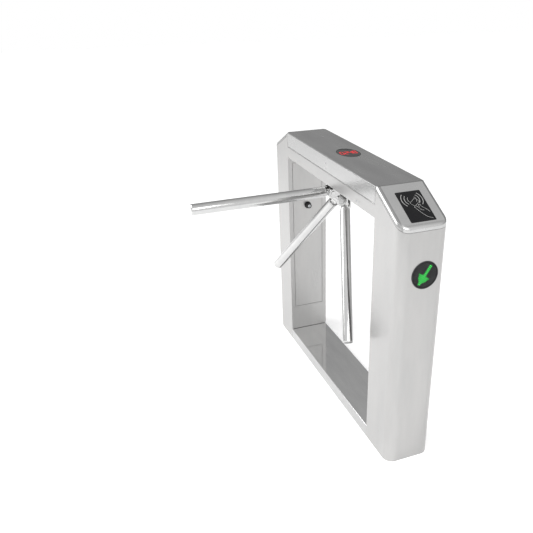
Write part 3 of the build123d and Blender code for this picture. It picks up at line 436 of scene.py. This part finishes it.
COLUMN_STEEL = brushed_steel("steel_column", ALONG_Z)
BEAM_STEEL = brushed_steel("steel_beam", ALONG_X)
SLOPE_STEEL = slope_steel()
LID_STEEL = lid_steel()
PLINTH_STEEL = plinth_steel()
POLISHED = polished_steel()
ZINC = zinc_plate()
TURNED = turned_steel()
BLACK_PLASTIC = moulded_black()
READER_GLASS = reader_glass()
SIGNAL_FACE = smoked_acrylic()
COUNTER_FACE = counter_acrylic()
BOARD = circuit_board()

NODE_FINISH = {
    "column_shell": COLUMN_STEEL, "service_door": COLUMN_STEEL, "slope_cap": SLOPE_STEEL,
    "beam_tray": BEAM_STEEL, "hub_pocket_liner": BEAM_STEEL, "top_lid": LID_STEEL,
    "plinth_channel": PLINTH_STEEL, "hinge_fixed_leaves": BEAM_STEEL, "hinge_moving_leaves": BEAM_STEEL,
}
SLOT_FINISH = {
    "stainless_brushed": COLUMN_STEEL, "stainless_polished": POLISHED, "zinc_plated": ZINC,
    "machined_steel": TURNED, "cast_aluminium": cast_alloy(), "brass": pinion_brass(),
    "black_paint": motor_paint(), "lock_black": lock_black(), "black_plastic": BLACK_PLASTIC,
    "black_nylon": gland_nylon(), "reader_glass": READER_GLASS, "smoked_lens": SIGNAL_FACE,
    "counter_window": COUNTER_FACE, "circuit_board": BOARD,
}


def paint_frame():
    """Gives every CAD node the finish of its name's ending, or else of its material slot."""
    for name, made in nodes.items():
        ending = [f for key, f in NODE_FINISH.items() if name.endswith(key)]
        for place in made.material_slots:
            slot_name = place.material.name.split(".")[0]
            place.material = ending[0] if ending else SLOT_FINISH[slot_name]


# ---------------------------------------------------------------- counter

def ellipse(length, width, count=96):
    """Points round an ellipse: (a cos t, b sin t)."""
    return circle(1, count) * np.array([length / 2, width / 2])


COUNTER_TOP = cad_high.z
COUNTER_FRAME = ((COUNTER_X, COUNTER_Y, 0.0), (0.0, 1.0, 0.0), (-1.0, 0.0, 0.0))


FACE_DROP = 0.3 * MM      # the window's face lies this far below its rim
FACE_GAP = 1 * MM         # the face is this much narrower than the rim's opening
RIM_WIDTH, RIM_DEPTH = 1.6 * MM, 3 * MM


def counter_window():
    """The oval window: a flat face a little below its rim, and a wall down to the display."""
    face, low = COUNTER_TOP - FACE_DROP, COUNTER_TOP - 4 * MM
    outline = ellipse(COUNTER_WIDTH - FACE_GAP, COUNTER_LENGTH - FACE_GAP)
    rings = [(0, low), (0.98, low), (1, low + 0.3 * MM), (1, COUNTER_TOP - 2 * FACE_DROP),
             (0.99, face), (0.5, face), (0, face)]
    made = piece("counter_window_face", placed(stacked(outline, rings), *COUNTER_FRAME),
                 COUNTER_FACE, "lid")
    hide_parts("counter_window")
    rim = ellipse(COUNTER_WIDTH, COUNTER_LENGTH)
    profile = [(0, COUNTER_TOP - RIM_DEPTH), (0, face), (0.3 * MM, COUNTER_TOP),
               (RIM_WIDTH - 0.3 * MM, COUNTER_TOP), (RIM_WIDTH, COUNTER_TOP - 0.5 * MM),
               (RIM_WIDTH, COUNTER_TOP - RIM_DEPTH)]
    piece("counter_window_rim", placed(ring_band(rim, profile), *COUNTER_FRAME),
          BLACK_PLASTIC, "lid")


# Each bar of a figure: steps across and up from its middle, and whether it stands.
SEGMENT_AT = {
    "top": (0, 1, False), "middle": (0, 0, False), "bottom": (0, -1, False),
    "upper_left": (-1, 0.5, True), "upper_right": (1, 0.5, True),
    "lower_left": (-1, -0.5, True), "lower_right": (1, -0.5, True),
}
DIGIT_SEGMENTS = {
    0: "top bottom upper_left upper_right lower_left lower_right",
    2: "top middle bottom upper_right lower_left",
    4: "middle upper_left upper_right lower_right",
    8: "top middle bottom upper_left upper_right lower_left lower_right",
}
COUNT_SHOWN = (0, 2, 4, 8)
DIGIT_WIDTH, DIGIT_HEIGHT, DIGIT_PITCH = 11.5 * MM, 34 * MM, 17 * MM
BAR_WIDTH, BAR_GAP = 3.4 * MM, 1 * MM
DIGIT_LEAN = 0.1          # a figure leans to one side by this share of its height


def segment(length, width, standing, rings):
    """One display bar: a long hexagon with pointed ends, stacked as a thin closed plate."""
    half, end = width / 2, length / 2
    outline = np.array([(end, 0), (end - half, half), (-end + half, half), (-end, 0),
                        (-end + half, -half), (end - half, -half)])
    if standing:
        outline = outline[:, ::-1] * np.array([-1, 1])
    return stacked(outline, rings)


def counter_digits():
    """Four seven-bar figures: lit bars in one piece, unlit bars in another. The lean moves a point
    across by a share of its height: a' = a + lean b."""
    face = COUNTER_TOP - FACE_DROP
    rings = [(0, face - 0.1 * MM), (1, face - 0.1 * MM), (1, face + 0.15 * MM),
             (0.9, face + 0.22 * MM), (0, face + 0.22 * MM)]
    lit, unlit = [], []
    for place, figure in enumerate(COUNT_SHOWN):
        shown = DIGIT_SEGMENTS[figure].split()
        for name, (right, up, standing) in SEGMENT_AT.items():
            length = (DIGIT_HEIGHT / 2 if standing else DIGIT_WIDTH) - BAR_GAP
            bar = segment(length, BAR_WIDTH, standing, rings)
            bar = bar + np.array([right * DIGIT_WIDTH / 2, up * DIGIT_HEIGHT / 2, 0])
            bar[..., 0] += DIGIT_LEAN * bar[..., 1]
            bar[..., 0] += (place - (len(COUNT_SHOWN) - 1) / 2) * DIGIT_PITCH
            (lit if name in shown else unlit).append(bar)
    red = glowing("glow_red", (0.80, 0.006, 0.010), 0.95, (0.30, 0.006, 0.008))
    piece("count_bars_lit", placed(lit, *COUNTER_FRAME), red, "lid")
    piece("count_bars_unlit", placed(unlit, *COUNTER_FRAME),
          unlit_led("led_red_off", (0.05, 0.012, 0.012)), "lid")


# ---------------------------------------------------------------- readers and signals

def reader_frame(side):
    """Frame on the sloping cap's glass: centre of the glass, across, and up the slope."""
    down = np.array([math.cos(SLOPE_ANGLE), 0, -math.sin(SLOPE_ANGLE)])
    out = np.array([math.sin(SLOPE_ANGLE), 0, math.cos(SLOPE_ANGLE)])
    centre = (np.array([SLOPE_TOP_X, 0, HEIGHT]) + down * (READER_START + READER_LENGTH / 2)
              + out * READER_PROUD + np.array([0, READER_SHIFT, 0]))
    turn = np.array([side, side, 1])
    return centre * turn, np.array([0, 1.0, 0]) * turn, -down * turn


# The hand's outline and thumb, in mm from the glass's centre: the arm comes in at the lower right.
HAND = [(36, -57), (22, -50), (12, -38), (5, -24), (-1, -12), (-5, -4), (-4, 0), (0, 1), (5, -3),
        (9, -8), (11, -4), (12, 3), (15, 6), (18, 4), (19, -3), (24, -10), (31, -18), (37, -30)]
THUMB = [(9, -8), (11, -15), (16, -20), (21, -21)]
CARD_SIZE = (30 * MM, 19 * MM, 2.5 * MM)      # width, height and corner radius
CARD_SPOT, CARD_LEAN = np.array([5, 16]) * MM, math.radians(38)
WAVE_CENTRE, WAVE_HALF_ANGLE = (1 * MM, 28 * MM), 44
WAVES = ((15, 1.3), (25.5, 1.9), (36, 2.1))   # radius and line width, in mm
CARD_LINE, HAND_LINE, THUMB_LINE, PRINT_THICKNESS = 1.0 * MM, 1.3 * MM, 1.1 * MM, 0.12 * MM


def waves():
    """Three arcs each side of one centre, as (path, line width) pairs."""
    return [(arc(WAVE_CENTRE, radius * MM, middle - WAVE_HALF_ANGLE, middle + WAVE_HALF_ANGLE),
             width * MM) for radius, width in WAVES for middle in (0, 180)]


def card():
    """The card's outline: a rounded box turned by the lean, closed on its first point."""
    turn = np.array([[math.cos(CARD_LEAN), math.sin(CARD_LEAN)],
                     [-math.sin(CARD_LEAN), math.cos(CARD_LEAN)]])
    outline = rounded_box(*CARD_SIZE) @ turn
    return np.concatenate([outline, outline[:1]]) + CARD_SPOT


def reader_marks(side, label):
    """Printed marks on the reader glass: waves, a card, and a hand that holds it."""
    drawn = waves() + [(card(), CARD_LINE), (np.array(HAND) * MM, HAND_LINE),
                       (np.array(THUMB) * MM, THUMB_LINE)]
    lines = [stroke(path, width, PRINT_THICKNESS, 60) for path, width in drawn]
    piece(label + "_reader_marks", placed(lines, *reader_frame(side)), mark_print(), "cabinet")


ARROW_TURN = math.radians(56)
DOT_PITCH, DOT_RADIUS = 5.7 * MM, 1.75 * MM
ARROW_TIP, ARROW_TAIL, ARROW_HEAD = -6.2 * DOT_PITCH, 6.1 * DOT_PITCH, 5.3 * DOT_PITCH
HEAD_SPREAD = 0.7         # the head widens each side by this share of its length
DOT_MARGIN = 7 * MM       # the dots keep this far from the lamp's edge


def arrow_dots():
    """Dot grid turned to the arrow's line. A dot is lit on the two-row shaft, and in the head,
    where its distance to the side is no more than half a pitch and a share of its distance behind
    the tip."""
    steps = np.arange(-7, 8)
    u, v = np.meshgrid(steps * DOT_PITCH, (steps + 0.5) * DOT_PITCH, indexing="ij")
    u, v = u.ravel(), v.ravel()
    behind = u - ARROW_TIP
    shaft = (np.abs(v) < DOT_PITCH) & (behind >= 0) & (u <= ARROW_TAIL)
    head = (np.abs(v) <= 0.5 * DOT_PITCH + HEAD_SPREAD * behind) & (behind <= ARROW_HEAD)
    a = u * math.cos(ARROW_TURN) - v * math.sin(ARROW_TURN)
    b = u * math.sin(ARROW_TURN) + v * math.cos(ARROW_TURN)
    inside = np.hypot(a, b) < SIGNAL_RADIUS - DOT_MARGIN
    lit = shaft | head
    spots = np.stack([a, b], -1)
    return spots[lit & inside], spots[~lit & inside]


GREEN = glowing("glow_green", (0.03, 0.95, 0.10), 1.5, (0.01, 0.26, 0.03))
GREEN_OFF = unlit_led("led_green_off", (0.03, 0.034, 0.032))
LENS_RECESS, LENS_BACK = 0.9 * MM, 7 * MM
SIGNAL_RIM = 2.7 * MM


def signal_dots(name, spots, dome, frame_at, look):
    """One low dome at each spot of the lamp's face."""
    piece(name, placed(moved(dome, spots), *frame_at), look, "cabinet")


def signal_lamp(side, label):
    """A round lamp on the end face: smoked disc, bevelled rim, and a dot grid with a lit arrow."""
    rim_top = END_X + SIGNAL_PROUD
    face, back = rim_top - LENS_RECESS, END_X - LENS_BACK
    frame_at = (np.array([0.0, SIGNAL_SHIFT * side, SIGNAL_Z]), np.array([0.0, float(side), 0.0]),
                np.array([0.0, 0.0, 1.0]))
    outline = circle(SIGNAL_RADIUS, 96)
    disc = [(0, back), (0.9, back), (0.92, back + 0.5 * MM), (0.92, END_X), (0.975, END_X),
            (0.975, face), (0.5, face), (0, face)]
    lens = piece(label + "_signal_lens", placed(stacked(outline, disc), *frame_at),
                 SIGNAL_FACE, "cabinet")
    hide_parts(label + "_indicator_lens")
    profile = [(0, END_X), (0, face), (0.5 * MM, rim_top - 0.2 * MM), (1.1 * MM, rim_top),
               (SIGNAL_RIM - 0.6 * MM, rim_top), (SIGNAL_RIM, rim_top - 0.7 * MM), (SIGNAL_RIM, END_X)]
    piece(label + "_signal_rim", placed(ring_band(outline, profile), *frame_at),
          BLACK_PLASTIC, "cabinet")
    rings = [(0, face - 0.2 * MM), (1, face - 0.2 * MM), (1, face + 0.2 * MM),
             (0.8, face + 0.55 * MM), (0.45, face + 0.72 * MM), (0, face + 0.78 * MM)]
    dome = stacked(circle(DOT_RADIUS, 12), rings)
    lit, unlit = arrow_dots()
    signal_dots(label + "_signal_dots_lit", lit, dome, frame_at, GREEN)
    signal_dots(label + "_signal_dots_unlit", unlit, dome * np.array([0.8, 0.8, 1]), frame_at,
                GREEN_OFF)


# ---------------------------------------------------------------- small fittings

def screw_head(radius, height):
    """A button head: rings of a circle from a flat foot to a low dome."""
    rings = [(0, 0), (1, 0), (1, 0.35 * height), (0.86, 0.75 * height), (0.6, height),
             (0.42, height), (0.36, 0.45 * height), (0, 0.45 * height)]
    return stacked(circle(radius, 24), rings)


ON_LANE_SIDE = ((0.0, -SIDE_Y, 0.0), (1.0, 0.0, 0.0), (0.0, 0.0, 1.0))


SCREW_HEIGHT = 1.6 * MM
LID_SCREWS = np.array([(2, 953), (2, 937)]) * MM
TRAY_SCREWS = np.array([(x, 893) for x in (-284, -268, 268, 284)]) * MM


def side_screws():
    """Screws in the lane side: two in the lid's skirt, and four in the beam below it."""
    for name, spots, radius, body, slot, look in (
            ("lid_side_screws", LID_SCREWS, 3.4 * MM, "lid", "stainless_polished", POLISHED),
            ("tray_side_screws", TRAY_SCREWS, 2.4 * MM, "cabinet", "zinc_plated", ZINC)):
        heads = moved(screw_head(radius, SCREW_HEIGHT), spots)
        piece(name, placed(heads, *ON_LANE_SIDE), look, body, 30)


HEM_RADIUS, HEM_RISE, HEM_END_GAP, HEM_TAPER = 1.1 * MM, 2.3 * MM, 3 * MM, 2 * MM


def lid_hem():
    """The rolled bead along the lid's lower lane-side edge: a round bar whose radius grows evenly
    from zero over the taper at each end."""
    end = PORTAL_X - HEM_END_GAP
    along = np.linspace(-end, end, 60)
    swell = np.clip((end - np.abs(along)) / HEM_TAPER, 0, 1)[:, None]
    ring = circle(HEM_RADIUS, 12)
    bar = np.stack([np.broadcast_to(along[:, None], (60, 12)), -SIDE_Y + ring[:, 0] * swell,
                    SEAM_Z + HEM_RISE + ring[:, 1] * swell], -1)
    piece("lid_hem", bar, POLISHED, "lid", 60)


SHADOW_STRIP_RADIUS, SHADOW_STRIP_INSET, SHADOW_STRIP_END_GAP = 1.0 * MM, 1 * MM, 3 * MM


def plinth_shadow_strips():
    """Black strips where the plinth's top meets the columns, a painted shadow standing in for the shade
    in that joint: low half-round bars.
    """
    end = SIDE_Y - SHADOW_STRIP_END_GAP
    along = np.linspace(-end, end, 24)
    swell = (np.abs(along) < end).astype(float)[:, None]
    ring = circle(SHADOW_STRIP_RADIUS, 10)
    bars = [np.stack([side * (PORTAL_X - SHADOW_STRIP_INSET) + ring[:, 0] * swell,
                      np.broadcast_to(along[:, None], (24, 10)),
                      PLINTH_TOP + ring[:, 1] * swell], -1) for side in (1, -1)]
    # painted shadow: black bars along the joint
    piece("plinth_shadow_strips", np.stack(bars), BLACK_PLASTIC, "cabinet", 60)


# ---------------------------------------------------------------- studio

CAMERA_SPOT = (2.1478, -0.9925, 1.5795)
CAMERA_AIM = (0.1759, -0.1633, 0.4160)
LENS, SENSOR = 43.57, 36.0
SHIFT_X, SHIFT_Y = -0.109, 0.0965


def camera():
    """The camera, level, at the viewing angle."""
    data = bpy.data.cameras.new("camera")
    data.sensor_width, data.lens = SENSOR, LENS
    data.shift_x, data.shift_y = SHIFT_X, SHIFT_Y
    made = bpy.data.objects.new("camera", data)
    spot, aim = (np.array(p) for p in (CAMERA_SPOT, CAMERA_AIM))
    made.location = spot
    made.rotation_mode = "QUATERNION"
    made.rotation_quaternion = Vector(aim - spot).to_track_quat("-Z", "Y")
    bpy.context.scene.collection.objects.link(made)
    bpy.context.scene.camera = made


FLOOR_HALF, FLOOR_DROP, FLOOR_GLOW = 14.0, 0.0005, 0.36


def floor():
    """A wide pale floor, faintly self-lit so that shadows on it stay soft and light."""
    material, tree, bsdf = shader("floor_pale")
    value = grain(tree, (1.3, 1.3, 1.3), 2.0)
    tree.links.new(tinted(tree, value, (0.86, 0.86, 0.86), (0.9, 0.9, 0.9)),
                   bsdf.inputs["Base Color"])
    for socket, setting in (("Roughness", 0.9), ("Specular IOR Level", 0.1),
                            ("Emission Color", (1, 1, 1, 1)), ("Emission Strength", FLOOR_GLOW)):
        bsdf.inputs[socket].default_value = setting
    corners = [(sx * FLOOR_HALF, sy * FLOOR_HALF, 0) for sx, sy in ((-1, -1), (1, -1), (1, 1), (-1, 1))]
    mesh = bpy.data.meshes.new("floor")
    mesh.from_pydata(corners, [], [(0, 1, 2, 3)])
    mesh.materials.append(material)
    made = bpy.data.objects.new("floor", mesh)
    made.location = (0, 0, -FLOOR_DROP)
    bpy.context.scene.collection.objects.link(made)


def lamp(name, spot, aim, size, power):
    """A soft square lamp that faces its aim."""
    data = bpy.data.lights.new(name, "AREA")
    data.size, data.energy = size, power
    made = bpy.data.objects.new(name, data)
    made.location = spot
    made.rotation_mode = "QUATERNION"
    made.rotation_quaternion = (Vector(aim) - Vector(spot)).to_track_quat("-Z", "Y")
    bpy.context.scene.collection.objects.link(made)


ROOM_LIT_FROM = (0.75, -0.45, 0.25)
ROOM_DIM, ROOM_BRIGHT = 0.25, 1.15


def surroundings():
    """A soft room light: brightness rises evenly from the far left to the near right, and what
    the camera sees directly is plain white."""
    world = bpy.data.worlds.new("studio")
    world.use_nodes = True
    tree = world.node_tree
    tree.nodes.clear()
    way = add(tree, "ShaderNodeTexCoord").outputs["Generated"]
    along = add(tree, "ShaderNodeVectorMath", {0: way, 1: ROOM_LIT_FROM}, operation="DOT_PRODUCT")
    level = spread(tree, along.outputs["Value"], ROOM_DIM, ROOM_BRIGHT, -0.8, 0.9)
    room = add(tree, "ShaderNodeBackground", {"Color": (1, 1, 1, 1), "Strength": level})
    seen = add(tree, "ShaderNodeBackground", {"Color": (1, 1, 1, 1), "Strength": 1.0})
    direct = add(tree, "ShaderNodeLightPath").outputs["Is Camera Ray"]
    mixed = add(tree, "ShaderNodeMixShader", {0: direct, 1: room.outputs[0], 2: seen.outputs[0]})
    add(tree, "ShaderNodeOutputWorld", {"Surface": mixed.outputs[0]})
    bpy.context.scene.world = world


def studio():
    """Camera, floor, room light and two soft lamps."""
    camera()
    floor()
    surroundings()
    lamp("lamp_left", (-1.6, -2.6, 2.6), (0, 0, 0.4), 2.6, 80)
    lamp("lamp_front", (2.8, -0.4, 2.4), (0.4, 0, 0.6), 1.4, 26)
    bpy.context.scene.view_settings.view_transform = "Standard"


paint_frame()
counter_window()
counter_digits()
for side, label in ((1, "entry"), (-1, "exit")):
    reader_marks(side, label)
    signal_lamp(side, label)
side_screws()
lid_hem()
plinth_shadow_strips()
studio()
